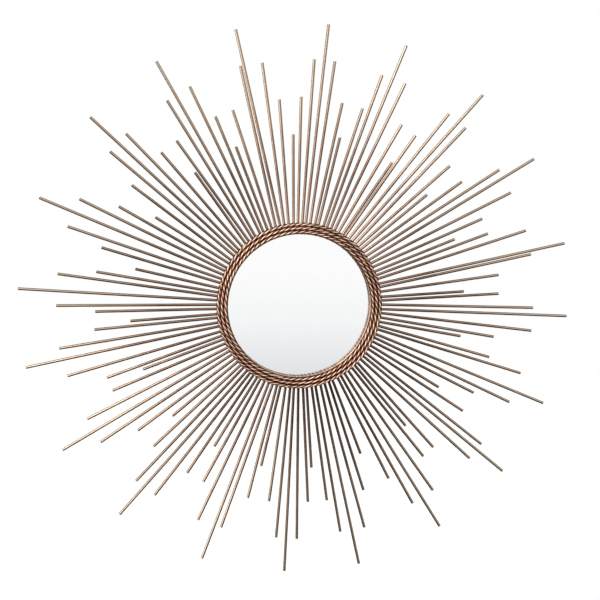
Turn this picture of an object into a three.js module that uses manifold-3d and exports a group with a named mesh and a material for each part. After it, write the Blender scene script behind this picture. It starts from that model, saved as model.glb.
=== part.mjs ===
// Sunburst wall mirror: a small round mirror in a shallow metal hoop with a flange, edged by three
// twisted-wire rings, with 120 straight round rods of four lengths welded to the hoop as rays.
//
// Millimetres, +Z up, +X to the right as seen from the front. The wall is the plane y = 0 and the
// mirror faces -Y. Every piece is drawn lying on its back, with x to the right, y up and z towards
// the viewer, and the outer group then stands it up against the wall.

import * as THREE from 'three';
import { mergeVertices } from 'three/addons/utils/BufferGeometryUtils.js';
import Module from 'manifold-3d';

const wasm = await Module();
wasm.setup();

// ---- Driving dimensions ------------------------------------------------------------------------

const gap = 0.3; // between two pieces that touch

const boardThick = 6;
const glassThick = 3;
const glassRecess = 6.5; // from the rods' middle plane back to the face of the glass

const hoopInner = 118.5;
const hoopThick = 0.8;
const hoopOuter = hoopInner + hoopThick;
const glassRadius = hoopInner - 0.4;

const flangeOuter = 134.6;
const flangeThick = 1.5;
const flangeClear = 0.2; // behind the rods, which only the weld beads join to it

const rodRadius = 2.35;
const rodSides = 6;
const rodRoot = hoopInner + hoopThick / 2; // the rods' inner ends are sunk into the hoop's wall
const rodPitch = 3; // degrees
const rodCount = 360 / rodPitch;
const tipRadius = { short: 278, medium: 337, long: 398, longest: 457 };
const lengthOrder = ['long', 'medium', 'short', 'medium', 'long', 'longest'];
const tipCentre = new THREE.Vector2(1.1, 3.4); // the tips' circles sit this far off the hoop's centre
const lengthScatter = 2;

const ropeRadius = 2.95; // the round that three twisted wires fill
const ropePitch = 2 * ropeRadius + gap;
const innerRopeRadius = 122.5;

const discSides = 72;
const ropeSteps = 54;
const arcStep = 3; // degrees in one facet of the hoop

const boardFront = boardThick;
const glassBack = boardFront + gap;
const glassFront = glassBack + glassThick;
const rodLevel = glassFront + glassRecess;
const flangeBack = rodLevel - rodRadius - flangeClear - flangeThick;
const ropeLevel = rodLevel + rodRadius + gap + ropeRadius;
const hoopFront = ropeLevel - 0.8; // its edge stands beside the inner ring, clear of it

// Hanging plate, let into the back of the board near its top.
const plate = { width: 44, height: 20, thick: 1.6, centreY: 78 };
const keyhole = { radius: 4.6, slotWidth: 4.4, drop: 2.5, rise: 4.6 };
const platePocketDepth = gap + plate.thick + gap;
const screwPocket = { width: 16, height: 15, depth: 4.6 };

// How the hand-set rods wander from even spacing, in degrees: a mean turn, a drift once round the
// hoop and a drift four times round it, each with the angle where it is greatest, and a scatter.
const rootWander = { mean: -0.64, once: [0.76, 312], fourTimes: [0.55, 144], scatter: 0.45, seed: 180050 };
const tipWander = { mean: -1.9, once: [0.8, 275], fourTimes: [0.4, 305], scatter: 1.2, seed: 337851 };
const lengthSeed = 3;

// ---- Materials ---------------------------------------------------------------------------------

const finish = (color, roughness, metalness) =>
  new THREE.MeshStandardMaterial({ color, roughness, metalness });

const rodBronze = finish(0x6f5747, 0.4, 1);
const ropeCopper = finish(0x8a5a44, 0.35, 1);
const silveredGlass = finish(0xf2f4f6, 0.02, 1);
const board = finish(0x5b4636, 0.85, 0);
const zincPlate = finish(0xa9abad, 0.45, 1);

// ---- Solids ------------------------------------------------------------------------------------

// A closed three.js geometry as a manifold solid, with its vertices merged.
function solid(geometry) {
  const plain = geometry.clone();
  plain.deleteAttribute('normal');
  plain.deleteAttribute('uv');
  const merged = mergeVertices(plain, 1e-4);
  const vertProperties = new Float32Array(merged.attributes.position.array);
  const triVerts = new Uint32Array(merged.index.array);
  return new wasm.Manifold(new wasm.Mesh({ numProp: 3, vertProperties, triVerts }));
}

function geometryOf(body) {
  const mesh = body.getMesh();
  const geometry = new THREE.BufferGeometry();
  geometry.setAttribute('position', new THREE.BufferAttribute(new Float32Array(mesh.vertProperties), 3));
  geometry.setIndex(new THREE.BufferAttribute(new Uint32Array(mesh.triVerts), 1));
  geometry.computeVertexNormals();
  return geometry;
}

function piece(name, body, material) {
  const mesh = new THREE.Mesh(geometryOf(body), material);
  mesh.name = name;
  return mesh;
}

function disc(radius, thick, back) {
  const geometry = new THREE.CylinderGeometry(radius, radius, thick, discSides);
  geometry.rotateX(Math.PI / 2);
  geometry.translate(0, 0, back + thick / 2);
  return solid(geometry);
}

function block(width, height, thick, centreY, back) {
  const geometry = new THREE.BoxGeometry(width, height, thick);
  geometry.translate(0, centreY, back + thick / 2);
  return solid(geometry);
}

// ---- Mirror, board and hanging plate -----------------------------------------------------------

function mirrorGlass() {
  return piece('mirror_glass', disc(glassRadius, glassThick, glassBack), silveredGlass);
}

// The board's pockets run past its back face, so that they cut it cleanly.
function backBoard() {
  const over = 1;
  const platePocket = block(
    plate.width + 2 * gap, plate.height + 2 * gap, platePocketDepth + over, plate.centreY, -over);
  const headPocket = block(
    screwPocket.width, screwPocket.height, screwPocket.depth + over, plate.centreY, -over);
  const body = disc(glassRadius, boardThick, 0).subtract(platePocket).subtract(headPocket);
  return piece('back_board', body, board);
}

// A round hole that passes a screw's head, and a slot above it that catches the shank.
function hangerPlate() {
  const outline = new THREE.Shape();
  outline.moveTo(-plate.width / 2, -plate.height / 2);
  outline.lineTo(plate.width / 2, -plate.height / 2);
  outline.lineTo(plate.width / 2, plate.height / 2);
  outline.lineTo(-plate.width / 2, plate.height / 2);
  outline.closePath();

  const half = keyhole.slotWidth / 2;
  const mouth = Math.acos(half / keyhole.radius);
  const hole = new THREE.Path();
  hole.moveTo(half, keyhole.rise);
  hole.absarc(0, keyhole.rise, half, 0, Math.PI, false);
  hole.absarc(0, -keyhole.drop, keyhole.radius, Math.PI - mouth, mouth, false);
  hole.closePath();
  outline.holes.push(hole);

  const geometry = new THREE.ExtrudeGeometry(outline, {
    depth: plate.thick, bevelEnabled: false, curveSegments: 10,
  });
  geometry.translate(0, plate.centreY, gap);
  return piece('hanger_plate', solid(geometry), zincPlate);
}

// ---- Twisted-wire rings ------------------------------------------------------------------------

function ropeRing(name, radius) {
  const geometry = new THREE.TorusGeometry(radius, ropeRadius, 8, ropeSteps);
  geometry.translate(0, 0, ropeLevel);
  return piece(name, solid(geometry), ropeCopper);
}

// ---- Rays --------------------------------------------------------------------------------------

// A repeatable scatter from -1 to 1 for one rod.
function scatter(rod, seed) {
  const wave = Math.sin(rod * 12.9898 + seed * 78.233) * 43758.5453;
  return 2 * (wave - Math.floor(wave)) - 1;
}

// The angle in degrees at which a rod's root or tip is really set.
function setAngle(rod, wander) {
  const even = rod * rodPitch;
  const swing = ([size, peak], times) =>
    size * Math.cos(THREE.MathUtils.degToRad(times * even - peak));
  return even + wander.mean + swing(wander.once, 1) + swing(wander.fourTimes, 4)
    + wander.scatter * scatter(rod % rodCount, wander.seed);
}

function polar(radius, degrees) {
  const angle = THREE.MathUtils.degToRad(degrees);
  return new THREE.Vector2(radius * Math.cos(angle), radius * Math.sin(angle));
}

function rodBody(rod) {
  const reach = tipRadius[lengthOrder[rod % lengthOrder.length]]
    + lengthScatter * scatter(rod % rodCount, lengthSeed);
  const root = polar(rodRoot, setAngle(rod, rootWander));
  const tip = polar(reach, setAngle(rod, tipWander)).add(tipCentre);
  const run = tip.clone().sub(root);
  const geometry = new THREE.CylinderGeometry(rodRadius, rodRadius, run.length(), rodSides);
  geometry.translate(0, run.length() / 2, 0);
  geometry.rotateZ(run.angle() - Math.PI / 2);
  geometry.translate(root.x, root.y, rodLevel);
  return solid(geometry);
}

// A stretch of a flat ring between two angles in degrees.
function arc(from, to, innerRadius, outerRadius, back, depth) {
  const steps = Math.round((to - from) / arcStep);
  const bends = Array.from({ length: steps + 1 }, (_, i) => from + ((to - from) * i) / steps);
  const outer = bends.map((degrees) => polar(outerRadius, degrees));
  const inner = bends.map((degrees) => polar(innerRadius, degrees)).reverse();
  const geometry = new THREE.ExtrudeGeometry(new THREE.Shape([...outer, ...inner]), {
    depth, bevelEnabled: false,
  });
  geometry.translate(0, 0, back);
  return solid(geometry);
}

function hoopArc(from, to) {
  const wall = arc(from, to, hoopInner, hoopOuter, 0, hoopFront);
  const flange = arc(from, to, rodRoot, flangeOuter, flangeBack, flangeThick);
  return wall.add(flange);
}

// The hoop with its rods is one weldment. It is parted midway between rods into one sector for
// each longest rod, because the spaces between those rods' ends are open.
function raySector(number) {
  const first = number * lengthOrder.length + 3;
  const last = first + lengthOrder.length - 1;
  const midway = (rod) => (setAngle(rod, rootWander) + setAngle(rod + 1, rootWander)) / 2;
  const halfCut = THREE.MathUtils.radToDeg(gap / 2 / hoopInner);
  let body = hoopArc(midway(first - 1) + halfCut, midway(last) - halfCut);
  for (let rod = first; rod <= last; rod += 1) body = body.add(rodBody(rod));
  return piece(`ray_sector_${String(number + 1).padStart(2, '0')}`, body, rodBronze);
}

// ---- Assembly ----------------------------------------------------------------------------------

const mirror = new THREE.Group();
mirror.name = 'sunburst_mirror';
mirror.add(backBoard(), hangerPlate(), mirrorGlass());
mirror.add(ropeRing('rope_ring_inner', innerRopeRadius));
mirror.add(ropeRing('rope_ring_middle', innerRopeRadius + ropePitch));
mirror.add(ropeRing('rope_ring_outer', innerRopeRadius + 2 * ropePitch));
for (let number = 0; number < rodCount / lengthOrder.length; number += 1) {
  mirror.add(raySector(number));
}
mirror.rotation.x = Math.PI / 2;

export default mirror;
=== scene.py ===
# Sunburst wall mirror: a small round mirror in a shallow hoop, edged with three rings of twisted
# wire, with 120 rods welded to the hoop as rays. Metres; the wall is the plane y = 0, the mirror
# faces -Y, and angles run counter-clockwise from +X as seen from the front.

import math

import bmesh
import bpy
from mathutils import Matrix, Vector, noise


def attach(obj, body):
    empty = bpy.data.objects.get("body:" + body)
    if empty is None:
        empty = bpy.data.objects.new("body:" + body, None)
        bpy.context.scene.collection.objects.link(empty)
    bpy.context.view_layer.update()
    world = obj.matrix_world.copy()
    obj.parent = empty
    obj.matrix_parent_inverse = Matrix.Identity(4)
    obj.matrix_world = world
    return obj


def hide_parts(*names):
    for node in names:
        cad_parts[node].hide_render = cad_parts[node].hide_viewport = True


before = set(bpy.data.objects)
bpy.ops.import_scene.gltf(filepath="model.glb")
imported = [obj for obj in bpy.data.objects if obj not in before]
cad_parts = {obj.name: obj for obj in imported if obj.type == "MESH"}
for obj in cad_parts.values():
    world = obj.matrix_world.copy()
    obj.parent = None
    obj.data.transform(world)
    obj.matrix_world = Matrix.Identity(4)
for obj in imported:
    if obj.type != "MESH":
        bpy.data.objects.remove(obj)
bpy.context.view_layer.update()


# ---- Hoop and rods ------------------------------------------------------------------------------
# One weldment. A steel strip is rolled into a hoop with a flat flange, and 120 lengths of 4.7 mm
# steel rod, cropped square, are laid in a jig and welded to it as rays. They are set by hand, so
# spacing and lean wander. The whole is copper-plated, blackened and rubbed back, most at the tips.

hoop_inner = 0.1185
hoop_thick = 0.0008
hoop_depth = 0.0206
flange_outer = 0.1346
flange_thick = 0.0015
flange_back = 0.01175
edge_round = 0.0003
edge_steps = 3
on_outline = edge_round / 10  # a point this near the section's own plane lies on its outline
hoop_steps = 240

rod_radius = 0.00235
rod_sides = 12
rod_level = 0.0158  # the rods' middle plane, in front of the wall
rod_root = hoop_inner + hoop_thick / 2
rod_pitch = 3  # degrees
rod_count = 120
end_burr = 0.0003
tip_radius = {"short": 0.278, "medium": 0.337, "long": 0.398, "longest": 0.457}
length_order = ["long", "medium", "short", "medium", "long", "longest"]
length_scatter = 0.0020
tip_centre = Vector((0.0011, 0.0, 0.0034))  # the tips' circles sit this far off the hoop's centre

# How the rods wander from even spacing, in degrees: a mean turn, a drift once round the hoop and a
# drift four times round it, each with the angle where it is greatest, and a scatter. The two seeds
# were picked out of very many, so that the rods keep clear of each other and stand a little nearer
# to the real ones' places than most seeds would set them.
root_wander = {"mean": -0.64, "once": (0.76, 312), "four": (0.55, 144), "scatter": 0.45, "seed": 180050}
tip_wander = {"mean": -1.9, "once": (0.8, 275), "four": (0.4, 305), "scatter": 1.2, "seed": 337851}
length_seed = 3
tint_seed = 11
bead_seed = 23

bead_length = 0.0030
bead_width = 0.0066
bead_uneven = 0.15
bead_sides = 10
bead_rows = 6

hoop_surface, cut_surface = 1, 2  # a face's place in the piece's materials; a rod's side is 0


def polar(radius, degrees, forward=0.0):
    angle = math.radians(degrees)
    return Vector((radius * math.cos(angle), -forward, radius * math.sin(angle)))


def scatter(number, seed):
    """A repeatable scatter from -1 to 1."""
    wave = math.sin(number * 12.9898 + seed * 78.233) * 43758.5453
    return 2 * (wave - math.floor(wave)) - 1


def set_angle(rod, wander):
    """The angle in degrees at which a rod's root or tip is really set."""
    even = rod * rod_pitch
    drift = 0.0
    for times, (size, peak) in ((1, wander["once"]), (4, wander["four"])):
        drift += size * math.cos(math.radians(times * even - peak))
    return even + wander["mean"] + drift + wander["scatter"] * scatter(rod, wander["seed"])


def soften(bm, crease_degrees=35):
    """Shades a mesh smooth, apart from the edges that turn more sharply than the crease."""
    for face in bm.faces:
        face.smooth = True
    for edge in bm.edges:
        edge.smooth = edge.calc_face_angle(0.0) < math.radians(crease_degrees)


def add_piece(bm, name, materials):
    mesh = bpy.data.meshes.new(name)
    bm.to_mesh(mesh)
    bm.free()
    for material in materials:
        mesh.materials.append(material)
    piece = bpy.data.objects.new(name, mesh)
    bpy.context.scene.collection.objects.link(piece)
    return piece


def srgb(code):
    """A hex colour turned to the linear values that a shader takes."""
    channels = [(code >> shift & 255) / 255 for shift in (16, 8, 0)]
    linear = [c / 12.92 if c <= 0.04045 else ((c + 0.055) / 1.055) ** 2.4 for c in channels]
    return (*linear, 1.0)


def add_node(tree, kind, inputs=None, stops=None, **settings):
    """Adds a node with its settings. Each input is a value, or a socket that it is linked to."""
    node = tree.nodes.new("ShaderNode" + kind)
    for name, value in settings.items():
        setattr(node, name, value)
    for socket, value in (inputs or {}).items():
        if isinstance(value, bpy.types.NodeSocket):
            tree.links.new(value, node.inputs[socket])
        else:
            node.inputs[socket].default_value = value
    for number, (place, colour) in enumerate(stops or []):
        ramp = node.color_ramp.elements
        stop = ramp[number] if number < len(ramp) else ramp.new(place)
        stop.position = place
        stop.color = colour
    return node


def add_finish(name, metallic, roughness):
    """A new material, its node tree, and its shader with the values that are the same all over."""
    material = bpy.data.materials.new(name)
    material.use_nodes = True
    tree = material.node_tree
    shader = tree.nodes["Principled BSDF"]
    shader.inputs["Metallic"].default_value = metallic
    shader.inputs["Roughness"].default_value = roughness
    return material, tree, shader


# Blackened copper plate on drawn rod: brown-black near the hoop, rubbed back to a greyish tan
# towards the tips, in blotches along each rod, and no two rods alike. The dark near the hoop is
# partly painted shade, where the close-set rods shade each other.
rods_finish, tree, shader = add_finish("blackened_copper_plated_rod", 0.9, 0.22)
place = add_node(tree, "TexCoord").outputs["Object"]
flat = add_node(tree, "VectorMath", {0: place, 1: (1.0, 0.0, 1.0)}, operation="MULTIPLY")
reach = add_node(tree, "VectorMath", {0: flat.outputs["Vector"]}, operation="LENGTH")
blotch = add_node(tree, "TexNoise", {"Vector": place, "Scale": 1 / 0.040, "Detail": 4.0, "Roughness": 0.65})
tint = add_node(tree, "Attribute", attribute_name="tint")
uneven = add_node(tree, "MapRange", {
    "Value": blotch.outputs[0], "From Min": 0.25, "From Max": 0.75, "To Min": -0.045, "To Max": 0.045})
reach_uneven = add_node(tree, "Math", {0: reach.outputs["Value"], 1: uneven.outputs["Result"]})
reach_tinted = add_node(tree, "Math", {
    0: tint.outputs["Fac"], 1: 0.030, 2: reach_uneven.outputs["Value"]}, operation="MULTIPLY_ADD")
# Darker towards the hoop: worn patina together with painted shade.
rubbed_and_shaded = add_node(tree, "MapRange", {
    "Value": reach_tinted.outputs["Value"], "From Min": 0.12, "From Max": 0.45})
patina_and_shade = add_node(tree, "ValToRGB", {"Fac": rubbed_and_shaded.outputs["Result"]}, stops=[
    (0.0, srgb(0x47342A)),
    (0.3, srgb(0x6E5647)),
    (0.6, srgb(0x987F6A)),
    (1.0, srgb(0xA7937F)),
])
# Painted light: the rods' roots are painted paler the higher they stand, as if lit from above,
# and this painted light fades out along the rod.
by_hoop = add_node(tree, "MapRange", {
    "Value": reach.outputs["Value"], "From Min": 0.138, "From Max": 0.230, "To Min": 1.0, "To Max": 0.0})
height = add_node(tree, "SeparateXYZ", {"Vector": place})
painted_light_height = add_node(tree, "MapRange", {
    "Value": height.outputs["Z"], "From Min": -0.14, "From Max": 0.08, "To Min": 0.0, "To Max": 0.85})
painted_light_mask = add_node(tree, "Math", {
    0: by_hoop.outputs["Result"], 1: painted_light_height.outputs["Result"]}, operation="MULTIPLY")
painted_top_light = add_node(tree, "Mix", {
    0: painted_light_mask.outputs["Value"], 6: patina_and_shade.outputs["Color"], 7: srgb(0x9C7F6A)}, data_type="RGBA")
tree.links.new(painted_top_light.outputs[2], shader.inputs["Base Color"])

# The same plate on the rolled strip, polished by its rolling, so warmer and brighter than the rods.
# Painted shade: the strip is painted dark in the corner by the glass, where it meets the glass in shadow.
hoop_finish, tree, shader = add_finish("copper_plated_strip", 0.85, 0.34)
place = add_node(tree, "TexCoord").outputs["Object"]
cloud = add_node(tree, "TexNoise", {"Vector": place, "Scale": 1 / 0.018, "Detail": 3.0})
tone = add_node(tree, "ValToRGB", {"Fac": cloud.outputs[0]}, stops=[
    (0.35, srgb(0x8E705A)),
    (0.65, srgb(0xB8997F)),
])
depth = add_node(tree, "SeparateXYZ", {"Vector": place})
painted_corner_shade = add_node(tree, "MapRange", {
    "Value": depth.outputs["Y"], "From Min": -0.0135, "From Max": -0.0107, "To Min": 0.0, "To Max": 0.9})
strip = add_node(tree, "Mix", {
    0: painted_corner_shade.outputs["Result"], 6: tone.outputs["Color"], 7: srgb(0x3A2A20)}, data_type="RGBA")
tree.links.new(strip.outputs[2], shader.inputs["Base Color"])

# Sheared steel that took little plate: the flat ends of the rods are nearly black.
cut_finish, tree, shader = add_finish("sheared_rod_end", 0.6, 0.5)
place = add_node(tree, "TexCoord").outputs["Object"]
grain = add_node(tree, "TexNoise", {"Vector": place, "Scale": 1 / 0.001, "Detail": 2.0})
tone = add_node(tree, "ValToRGB", {"Fac": grain.outputs[0]}, stops=[
    (0.3, srgb(0x2E2019)),
    (0.7, srgb(0x6A5240)),
])
tree.links.new(tone.outputs["Color"], shader.inputs["Base Color"])


def add_flat_ring(bm, inner, outer, back, front):
    """A ring of rectangular section with its four edges rounded, spun about the hoop's axis."""
    made = bmesh.ops.create_grid(bm, x_segments=1, y_segments=1, size=0.5)["verts"]
    bmesh.ops.scale(bm, vec=(outer - inner, front - back, 1), verts=made)
    bmesh.ops.translate(bm, vec=((inner + outer) / 2, -(back + front) / 2, 0), verts=made)
    bmesh.ops.bevel(bm, geom=made, offset=edge_round, affect="VERTICES",
                    segments=edge_steps, profile=0.5, material=-1)
    outline = [v for v in bm.verts if v.link_faces and abs(v.co.z) < on_outline]
    bmesh.ops.delete(bm, geom=list({f for v in outline for f in v.link_faces}), context="FACES_ONLY")
    edges = list({e for v in outline for e in v.link_edges})
    bmesh.ops.spin(bm, geom=outline + edges, cent=(0, 0, 0), axis=(0, 1, 0),
                   angle=2 * math.pi, steps=hoop_steps, use_merge=True)


def shape_rod(length, tint, swell):
    """A rod along +Z with a burred end, its root at the origin, and the weld bead round its root."""
    bm = bmesh.new()
    bmesh.ops.create_cone(bm, cap_ends=True, segments=rod_sides,
                          radius1=rod_radius, radius2=rod_radius, depth=length)
    tip_face = max(bm.faces, key=lambda face: face.calc_center_median().z)
    tip_face.material_index = cut_surface
    bmesh.ops.bevel(bm, geom=tip_face.edges[:], offset=end_burr, affect="EDGES",
                    segments=1, profile=0.5, material=-1)
    bmesh.ops.translate(bm, vec=(0, 0, length / 2), verts=bm.verts)
    bead = bmesh.ops.create_uvsphere(
        bm, u_segments=bead_sides, v_segments=bead_rows, radius=0.5)["verts"]
    bmesh.ops.scale(bm, vec=(bead_width * swell, bead_width, bead_length * swell), verts=bead)
    bmesh.ops.translate(bm, vec=(0, 0, hoop_thick / 2), verts=bead)
    tint_layer = bm.verts.layers.float.new("tint")
    for vert in bm.verts:
        vert[tint_layer] = tint
    return bm


bm = bmesh.new()
add_flat_ring(bm, hoop_inner, hoop_inner + hoop_thick, 0.0, hoop_depth)
bmesh.ops.remove_doubles(bm, verts=bm.verts, dist=1e-6)
add_flat_ring(bm, rod_root, flange_outer, flange_back, flange_back + flange_thick)
bmesh.ops.remove_doubles(bm, verts=bm.verts, dist=1e-6)
bmesh.ops.recalc_face_normals(bm, faces=bm.faces)
for face in bm.faces:
    face.material_index = hoop_surface

blank = bpy.data.meshes.new("blank")
for rod in range(rod_count):
    reach = tip_radius[length_order[rod % len(length_order)]]
    reach += length_scatter * scatter(rod, length_seed)
    root = polar(rod_root, set_angle(rod, root_wander), rod_level)
    tip = polar(reach, set_angle(rod, tip_wander), rod_level) + tip_centre
    run = tip - root
    one = shape_rod(run.length, scatter(rod, tint_seed), 1 + bead_uneven * scatter(rod, bead_seed))
    turn = run.to_track_quat("Z", "Y").to_matrix().to_4x4()
    one.transform(Matrix.Translation(root) @ turn)
    one.to_mesh(blank)
    one.free()
    bm.from_mesh(blank)
bpy.data.meshes.remove(blank)
soften(bm)

hoop_and_rods = add_piece(bm, "hoop_and_rods", [rods_finish, hoop_finish, cut_finish])
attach(hoop_and_rods, "root")
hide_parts(*[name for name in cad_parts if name.startswith("ray_sector_")])


# ---- Twisted-wire rings -------------------------------------------------------------------------
# Three rings side by side on the rods' roots, each of three 2.7 mm steel wires twisted together,
# bent round and brazed shut, then tacked to the hoop. Copper-plated and blackened with the rods.

wire_count = 3
wire_radius = 0.00137
core_offset = 0.00158  # from a ring's core to the middle of each wire
braze_sink = 0.00018  # how far a bead's middle lies behind the front wires' middles
wire_sides = 12
lay_steps = 36
rope_level = 0.0214
rope_pitch = 0.0062
inner_rope_radius = 0.1225

# Hand twisting is uneven: the twist runs ahead and behind, in radians, so many times round a ring.
slow_waver, slow_times = 0.3, 5
quick_waver, quick_times = 0.2, 11

braze_surface = 1
braze_lumps = 0.35
lumps_across = 3.5  # a bead, before it is flattened

# Copper plate buffed through its blackening: pinkish crowns fall off to brown-black between strands.
# The fall-off is partly painted light: paler where a wire faces forward, and painted shade where it
# turns away into the grooves between strands and rings.
rope_finish, tree, shader = add_finish("blackened_copper_plated_wire", 0.9, 0.46)
place = add_node(tree, "TexCoord").outputs["Object"]
crown = add_node(tree, "Attribute", attribute_name="crown")
blotch = add_node(tree, "TexNoise", {"Vector": place, "Scale": 1 / 0.009, "Detail": 3.0})
uneven = add_node(tree, "MapRange", {
    "Value": blotch.outputs[0], "From Min": 0.3, "From Max": 0.7, "To Min": -0.12, "To Max": 0.12})
rub_and_shade = add_node(tree, "Math", {0: crown.outputs["Fac"], 1: uneven.outputs["Result"]})
tone = add_node(tree, "ValToRGB", {"Fac": rub_and_shade.outputs["Value"]}, stops=[
    (0.20, srgb(0x321B11)),
    (0.60, srgb(0x7A4E3B)),
    (0.80, srgb(0xB98F79)),
    (0.95, srgb(0xE2C2AC)),
])
tree.links.new(tone.outputs["Color"], shader.inputs["Base Color"])

# Brass brazing rod, run into the strands where a ring's wires meet end to end: dull tan.
braze_finish, tree, shader = add_finish("brass_braze", 0.8, 0.48)
place = add_node(tree, "TexCoord").outputs["Object"]
blotch = add_node(tree, "TexNoise", {"Vector": place, "Scale": 1 / 0.003, "Detail": 3.0})
tone = add_node(tree, "ValToRGB", {"Fac": blotch.outputs[0]}, stops=[
    (0.3, srgb(0x6E4A30)),
    (0.7, srgb(0xB08A62)),
])
tree.links.new(tone.outputs["Color"], shader.inputs["Base Color"])


def twist_ring(core_radius, lays, phase_degrees, waver_start):
    """A ring of wires, spun straight round and then turned about its core as it goes."""
    bm = bmesh.new()
    lay_length = 2 * math.pi * core_radius / lays
    # Cut across the ring, a wire's section is a little wide, because the wire crosses it aslant.
    slant = math.hypot(1, 2 * math.pi * core_offset / lay_length)
    for wire in range(wire_count):
        made = bmesh.ops.create_circle(bm, segments=wire_sides, radius=wire_radius)["verts"]
        bmesh.ops.scale(bm, vec=(1, slant, 1), verts=made)
        bmesh.ops.translate(bm, vec=(core_offset, 0, 0), verts=made)
        bmesh.ops.rotate(bm, cent=(0, 0, 0), verts=made,
                         matrix=Matrix.Rotation(2 * math.pi * wire / wire_count, 3, "Z"))
    bmesh.ops.translate(bm, vec=(core_radius, -rope_level, 0), verts=bm.verts)
    one_lay = 2 * math.pi / lays
    bmesh.ops.spin(bm, geom=bm.verts[:] + bm.edges[:], cent=(0, 0, 0), axis=(0, 1, 0),
                   angle=one_lay, steps=lay_steps)
    bmesh.ops.spin(bm, geom=bm.verts[:] + bm.edges[:] + bm.faces[:], cent=(0, 0, 0), axis=(0, 1, 0),
                   angle=2 * math.pi - one_lay, steps=lays - 1, use_duplicate=True)
    bmesh.ops.remove_doubles(bm, verts=bm.verts, dist=1e-6)
    crown_layer = bm.verts.layers.float.new("crown")
    for vert in bm.verts:
        angle = math.atan2(vert.co.z, vert.co.x)
        out = math.hypot(vert.co.x, vert.co.z) - core_radius
        forward = -vert.co.y - rope_level
        twist = lays * angle + math.radians(phase_degrees)
        twist += slow_waver * math.sin(slow_times * angle + waver_start)
        twist += quick_waver * math.sin(quick_times * angle)
        radius = core_radius + out * math.cos(twist) - forward * math.sin(twist)
        level = rope_level + out * math.sin(twist) + forward * math.cos(twist)
        vert.co = polar(radius, math.degrees(angle), level)
        # How far forward a point stands on its wire; the wire finish paints the points turned away from the
        # front darker, as shade.
        vert[crown_layer] = (level - rope_level) / (core_offset + wire_radius)
    bmesh.ops.recalc_face_normals(bm, faces=bm.faces)
    return bm


def add_braze(bm, radius, degrees, size, seed):
    """A flattened, uneven bead of braze on the front of a ring."""
    made = bmesh.ops.create_icosphere(bm, subdivisions=3, radius=0.5)
    for vert in made["verts"]:
        vert.co *= 1 + braze_lumps * noise.noise(vert.co * lumps_across + Vector((seed, 0, 0)))
    for face in {f for v in made["verts"] for f in v.link_faces}:
        face.material_index = braze_surface
    turn = Matrix.Rotation(math.radians(-degrees), 4, "Y")
    seat = Matrix.Translation(polar(radius, degrees, rope_level + core_offset - braze_sink))
    shape = Matrix.Diagonal((size[1], size[2], size[0], 1))
    bmesh.ops.transform(bm, matrix=seat @ turn @ shape, verts=made["verts"])


ring_names = ["rope_ring_inner", "rope_ring_middle", "rope_ring_outer"]
ring_lays = [24, 25, 26]
ring_phases = [0, 130, 250]  # degrees
waver_starts = [0, 130, 250]  # radians
braze_spots = [  # for each ring, the angle in degrees and the bead's size along, across and deep
    [(253, (0.012, 0.0050, 0.0026)), (136, (0.006, 0.0040, 0.0024))],
    [(33, (0.005, 0.0042, 0.0026)), (134, (0.007, 0.0050, 0.0026)), (291, (0.007, 0.0046, 0.0026))],
    [(133, (0.009, 0.0050, 0.0026)), (290, (0.004, 0.0030, 0.0024))],
]
for number, node_name in enumerate(ring_names):
    core_radius = inner_rope_radius + number * rope_pitch
    bm = twist_ring(core_radius, ring_lays[number], ring_phases[number], waver_starts[number])
    for spot, (degrees, size) in enumerate(braze_spots[number]):
        add_braze(bm, core_radius, degrees, size, number * 10 + spot)
    soften(bm)
    ring = add_piece(bm, node_name.replace("rope_ring", "twisted_ring"), [rope_finish, braze_finish])
    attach(ring, "root")
    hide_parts(node_name)


# ---- Mirror glass -------------------------------------------------------------------------------
# A disc of 3 mm float glass, silvered behind, cut to drop into the hoop from the back.

# Silvered glass: reflects everything, with the faintest grey-green of the glass and a trace of haze.
silver_finish, tree, shader = add_finish("silvered_float_glass", 1.0, 0.012)
place = add_node(tree, "TexCoord").outputs["Object"]
haze = add_node(tree, "TexNoise", {"Vector": place, "Scale": 1 / 0.050, "Detail": 2.0})
gloss = add_node(tree, "MapRange", {
    "Value": haze.outputs[0], "From Min": 0.4, "From Max": 0.8, "To Min": 0.006, "To Max": 0.030})
tree.links.new(gloss.outputs["Result"], shader.inputs["Roughness"])
shader.inputs["Base Color"].default_value = srgb(0xFBFCFB)
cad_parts["mirror_glass"].material_slots[0].material = silver_finish


# ---- Back board ---------------------------------------------------------------------------------
# A disc of 6 mm hardboard behind the glass, with a pocket let in for the hanging plate.

# Brown-stained hardboard: matt, with fine fibres and soft darker clouds.
board_finish, tree, shader = add_finish("brown_stained_hardboard", 0.0, 0.78)
place = add_node(tree, "TexCoord").outputs["Object"]
fibre = add_node(tree, "TexNoise", {"Vector": place, "Scale": 1 / 0.0012, "Detail": 4.0, "Roughness": 0.7})
cloud = add_node(tree, "TexNoise", {"Vector": place, "Scale": 1 / 0.030, "Detail": 2.0})
mixed = add_node(tree, "Math", {0: cloud.outputs[0], 1: 0.35, 2: fibre.outputs[0]}, operation="MULTIPLY_ADD")
tone = add_node(tree, "ValToRGB", {"Fac": mixed.outputs["Value"]}, stops=[
    (0.35, srgb(0x3F2F24)),
    (0.65, srgb(0x6B523E)),
    (0.95, srgb(0x8A6F57)),
])
tree.links.new(tone.outputs["Color"], shader.inputs["Base Color"])
relief = add_node(tree, "Bump", {"Height": fibre.outputs[0], "Distance": 0.0002, "Strength": 0.5})
tree.links.new(relief.outputs["Normal"], shader.inputs["Normal"])
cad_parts["back_board"].material_slots[0].material = board_finish


# ---- Hanging plate ------------------------------------------------------------------------------
# A keyhole plate of 1.6 mm steel, punched and zinc-plated, let into the board near its top.

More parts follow.
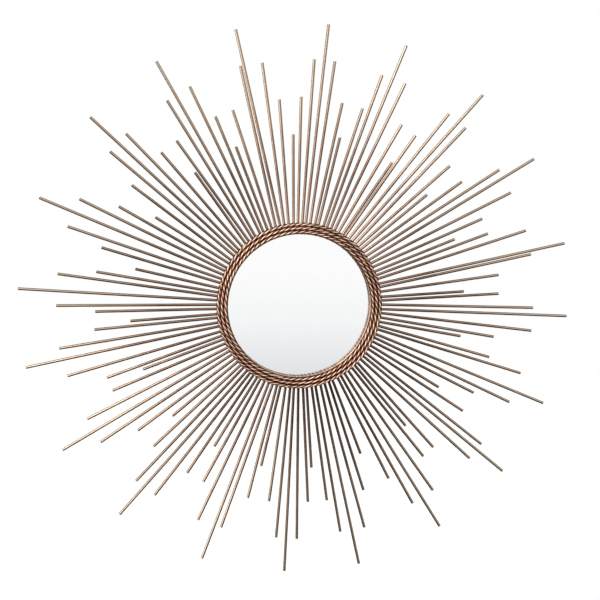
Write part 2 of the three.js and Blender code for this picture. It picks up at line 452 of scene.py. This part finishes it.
# Bright zinc plate: a cold silver-grey with soft cloudy patches and fine rolling lines.
zinc_finish, tree, shader = add_finish("zinc_plated_steel", 1.0, 0.38)
place = add_node(tree, "TexCoord").outputs["Object"]
cloud = add_node(tree, "TexNoise", {"Vector": place, "Scale": 1 / 0.006, "Detail": 2.0})
tone = add_node(tree, "ValToRGB", {"Fac": cloud.outputs[0]}, stops=[
    (0.3, srgb(0x9A9DA0)),
    (0.7, srgb(0xC3C6C8)),
])
tree.links.new(tone.outputs["Color"], shader.inputs["Base Color"])
lines = add_node(tree, "Mapping", {"Vector": place, "Scale": (1 / 0.020, 1 / 0.0004, 1 / 0.0004)})
rolled = add_node(tree, "TexNoise", {"Vector": lines.outputs["Vector"], "Scale": 1.0, "Detail": 2.0})
gloss = add_node(tree, "MapRange", {"Value": rolled.outputs[0], "To Min": 0.28, "To Max": 0.50})
tree.links.new(gloss.outputs["Result"], shader.inputs["Roughness"])
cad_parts["hanger_plate"].material_slots[0].material = zinc_finish


# ---- Studio -------------------------------------------------------------------------------------
# Soft light from the upper left and the left, and a white surround that the mirror sees as a pale
# grey towards the ground. A pale floor starts well behind the mirror and doesn't light the rods.

floor_level = -1.2
floor_size = 4.6
floor_start = 2.0
bm = bmesh.new()
bmesh.ops.create_grid(bm, x_segments=1, y_segments=1, size=floor_size / 2)
bmesh.ops.translate(bm, vec=(0, floor_start + floor_size / 2, floor_level), verts=bm.verts)
floor_finish, tree, shader = add_finish("white_floor", 0.0, 0.9)
shader.inputs["Base Color"].default_value = srgb(0xF6F6F6)
shader.inputs["Emission Color"].default_value = (1.0, 1.0, 1.0, 1.0)
shader.inputs["Emission Strength"].default_value = 0.35
floor = add_piece(bm, "floor", [floor_finish])

world = bpy.data.worlds.new("studio")
bpy.context.scene.world = world
world.use_nodes = True
tree = world.node_tree
tree.nodes.clear()
direction = add_node(tree, "TexCoord").outputs["Generated"]
across = add_node(tree, "SeparateXYZ", {"Vector": direction})
span = add_node(tree, "MapRange", {"Value": across.outputs["Z"], "From Min": -0.5, "From Max": 0.0})
sky = add_node(tree, "ValToRGB", {"Fac": span.outputs["Result"]}, stops=[
    (0.00, srgb(0x3A3937)),
    (0.40, srgb(0x5A5958)),
    (0.50, srgb(0x898888)),
    (0.60, srgb(0xDADBDF)),
    (0.69, srgb(0xF7F8FA)),
    (0.75, srgb(0xFFFFFF)),
])
behind = add_node(tree, "MapRange", {
    "Value": across.outputs["Y"], "From Min": -0.8, "From Max": 0.0, "To Min": 1.0, "To Max": 0.16})
to_left = add_node(tree, "MapRange", {
    "Value": across.outputs["X"], "From Min": -0.8, "From Max": 0.0, "To Min": 1.6, "To Max": 1.0})
above = add_node(tree, "MapRange", {
    "Value": across.outputs["Z"], "From Min": 0.0, "From Max": 0.3, "To Min": 1.0, "To Max": 1.8})
side = add_node(tree, "Math", {
    0: behind.outputs["Result"], 1: to_left.outputs["Result"]}, operation="MULTIPLY")
strength = add_node(tree, "Math", {
    0: side.outputs["Value"], 1: above.outputs["Result"]}, operation="MULTIPLY")
surround = add_node(tree, "Background", {
    "Color": sky.outputs["Color"], "Strength": strength.outputs["Value"]})
white = add_node(tree, "Background", {"Color": (1.0, 1.0, 1.0, 1.0), "Strength": 1.0})
seen = add_node(tree, "LightPath").outputs["Is Camera Ray"]
both = add_node(tree, "MixShader", {0: seen, 1: surround.outputs[0], 2: white.outputs[0]})
add_node(tree, "OutputWorld", {"Surface": both.outputs[0]})


def add_softbox(name, place, size, watts):
    light = bpy.data.lights.new(name, "AREA")
    light.size = size
    light.energy = watts
    lamp = bpy.data.objects.new(name, light)
    lamp.location = place
    lamp.rotation_euler = (-Vector(place)).to_track_quat("-Z", "Y").to_euler()
    bpy.context.scene.collection.objects.link(lamp)


add_softbox("key_softbox", (-1.1, -1.5, 1.3), 1.0, 27.0)
add_softbox("left_softbox", (-1.9, -1.1, 0.0), 1.2, 22.0)

view_azimuth = -8.52  # degrees from straight in front, towards +X
view_elevation = 8.16
view_distance = 2.743
view_centre = Vector((0.0012, -0.0158, 0.0092))
towards_camera = Vector((
    math.sin(math.radians(view_azimuth)) * math.cos(math.radians(view_elevation)),
    -math.cos(math.radians(view_azimuth)) * math.cos(math.radians(view_elevation)),
    math.sin(math.radians(view_elevation)),
))
lens = bpy.data.cameras.new("camera")
lens.sensor_width = 36.0
lens.lens = 99.9
camera = bpy.data.objects.new("camera", lens)
camera.location = view_centre + towards_camera * view_distance
camera.rotation_euler = (-towards_camera).to_track_quat("-Z", "Y").to_euler()
bpy.context.scene.collection.objects.link(camera)
bpy.context.scene.camera = camera
bpy.context.scene.view_settings.view_transform = "Standard"
